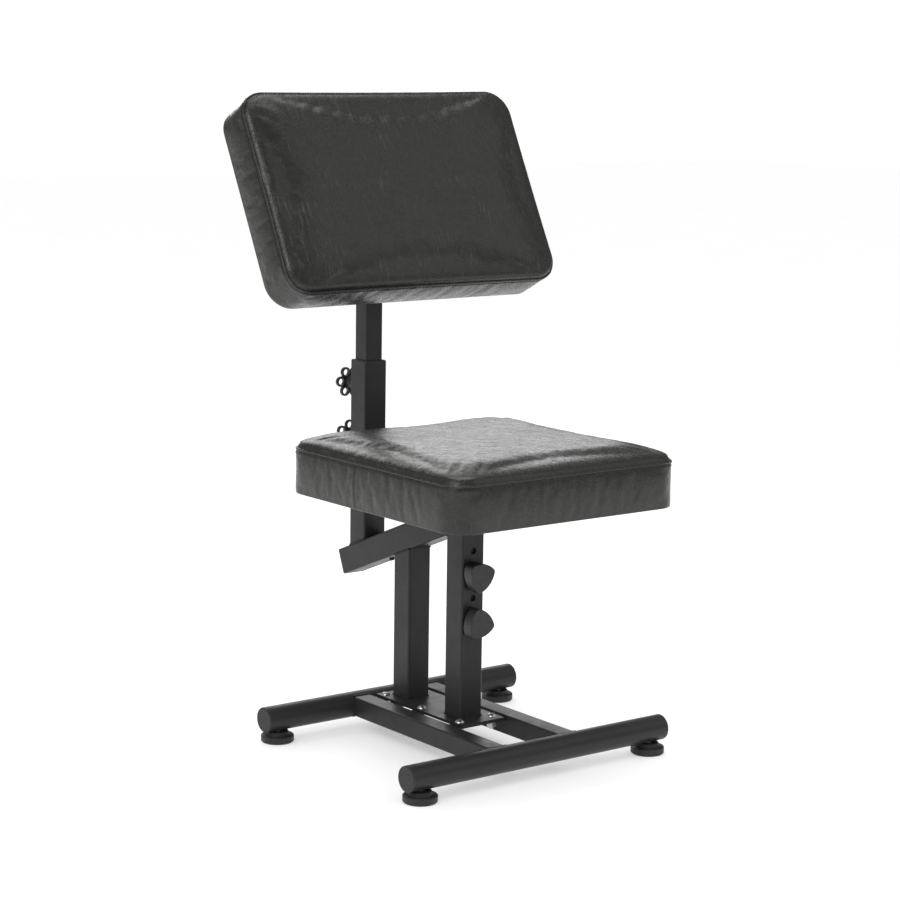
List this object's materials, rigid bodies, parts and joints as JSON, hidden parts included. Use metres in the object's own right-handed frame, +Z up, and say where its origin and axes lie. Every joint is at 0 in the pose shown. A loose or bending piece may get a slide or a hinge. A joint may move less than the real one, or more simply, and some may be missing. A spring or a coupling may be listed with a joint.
{
  "type": "drum throne",
  "caption": "Padded throne with a tilted backrest on an H-shaped tube floor frame; seat and backrest slide on square tubes and are clamped by hand knobs.",
  "frame": {"origin": "on the floor under the middle of the whole object's box", "axes": "+Z up; the sitter faces -Y; X runs across the seat"},
  "size_m": [0.496, 0.5476, 0.9637],
  "materials": {
    "powder_coat": "satin black powder coat",
    "zinc_plate": "bright zinc plate",
    "cap_plastic": "matte",
    "knob_plastic": "fine grained matte",
    "foot_rubber": "semi-matte",
    "leatherette": "glossy crinkled black leatherette",
    "plywood": "raw",
    "cambric": "woven black dust cloth"
  },
  "bodies": {
    "base": {"front_cross_tube": "powder_coat", "rear_cross_tube": "powder_coat", "tube_end_caps": "cap_plastic", "foot_thread_inserts": "zinc_plate", "left_rail": "powder_coat", "right_rail": "powder_coat", "cross_straps": "powder_coat", "base_plate": "powder_coat", "plate_bolts": "zinc_plate", "plate_washers": "zinc_plate", "plate_nuts": "zinc_plate", "front_post": "powder_coat", "rear_post": "powder_coat", "support_arm": "powder_coat", "arm_drain_plug": "cap_plastic", "arm_end_cap": "cap_plastic", "backrest_sleeve": "powder_coat", "seat_guide_bush": "cap_plastic", "backrest_guide_bush": "cap_plastic"},
    "seat": {"seat_slider_tube": "powder_coat", "seat_slider_plug": "cap_plastic", "seat_cushion": "leatherette", "seat_board": "plywood", "seat_tee_nuts": "zinc_plate", "seat_dust_cloth": "cambric", "seat_mounting_plate": "powder_coat", "seat_plate_screws": "zinc_plate"},
    "backrest": {"backrest_slider_tube": "powder_coat", "backrest_slider_plug": "cap_plastic", "backrest_cushion": "leatherette", "backrest_board": "plywood", "backrest_tee_nuts": "zinc_plate", "backrest_dust_cloth": "cambric", "backrest_mounting_plate": "powder_coat", "backrest_plate_screws": "zinc_plate"},
    "upper_seat_knob": {"seat_knob_upper": "knob_plastic", "seat_knob_stud_upper": "zinc_plate"},
    "upper_backrest_knob": {"backrest_knob_upper": "knob_plastic", "backrest_knob_stud_upper": "zinc_plate"},
    "lower_seat_knob": {"seat_knob_lower": "knob_plastic", "seat_knob_stud_lower": "zinc_plate"},
    "lower_backrest_knob": {"backrest_knob_lower": "knob_plastic", "backrest_knob_stud_lower": "zinc_plate"},
    "front_left_foot": {"foot_pad_front_left": "foot_rubber", "foot_stud_front_left": "zinc_plate"},
    "front_right_foot": {"foot_pad_front_right": "foot_rubber", "foot_stud_front_right": "zinc_plate"},
    "rear_left_foot": {"foot_pad_rear_left": "foot_rubber", "foot_stud_rear_left": "zinc_plate"},
    "rear_right_foot": {"foot_pad_rear_right": "foot_rubber", "foot_stud_rear_right": "zinc_plate"}
  },
  "joints": [
    {"name": "seat_height", "type": "slide", "parent": "base", "child": "seat", "axis": [0, 0, 1], "range_m": [0, 0.12]},
    {"name": "backrest_height", "type": "slide", "parent": "base", "child": "backrest", "axis": [0, 0, 1], "range_m": [-0.045, 0.08]},
    {"name": "upper_seat_knob_turn", "type": "hinge", "parent": "base", "child": "upper_seat_knob", "pos_m": [0, -0.04925, 0.267], "axis": [0, -1, 0], "range_deg": [0, 720]},
    {"name": "lower_seat_knob_turn", "type": "hinge", "parent": "base", "child": "lower_seat_knob", "pos_m": [0, -0.04925, 0.196], "axis": [0, -1, 0], "range_deg": [0, 720]},
    {"name": "upper_backrest_knob_turn", "type": "hinge", "parent": "base", "child": "upper_backrest_knob", "pos_m": [0, 0.24025, 0.516], "axis": [0, 1, 0], "range_deg": [0, 720]},
    {"name": "lower_backrest_knob_turn", "type": "hinge", "parent": "base", "child": "lower_backrest_knob", "pos_m": [0, 0.24025, 0.431], "axis": [0, 1, 0], "range_deg": [0, 720]},
    {"name": "front_left_foot_height", "type": "slide", "parent": "base", "child": "front_left_foot", "axis": [0, 0, -1], "range_m": [0, 0.008]},
    {"name": "front_right_foot_height", "type": "slide", "parent": "base", "child": "front_right_foot", "axis": [0, 0, -1], "range_m": [0, 0.008]},
    {"name": "rear_left_foot_height", "type": "slide", "parent": "base", "child": "rear_left_foot", "axis": [0, 0, -1], "range_m": [0, 0.008]},
    {"name": "rear_right_foot_height", "type": "slide", "parent": "base", "child": "rear_right_foot", "axis": [0, 0, -1], "range_m": [0, 0.008]}
  ]
}
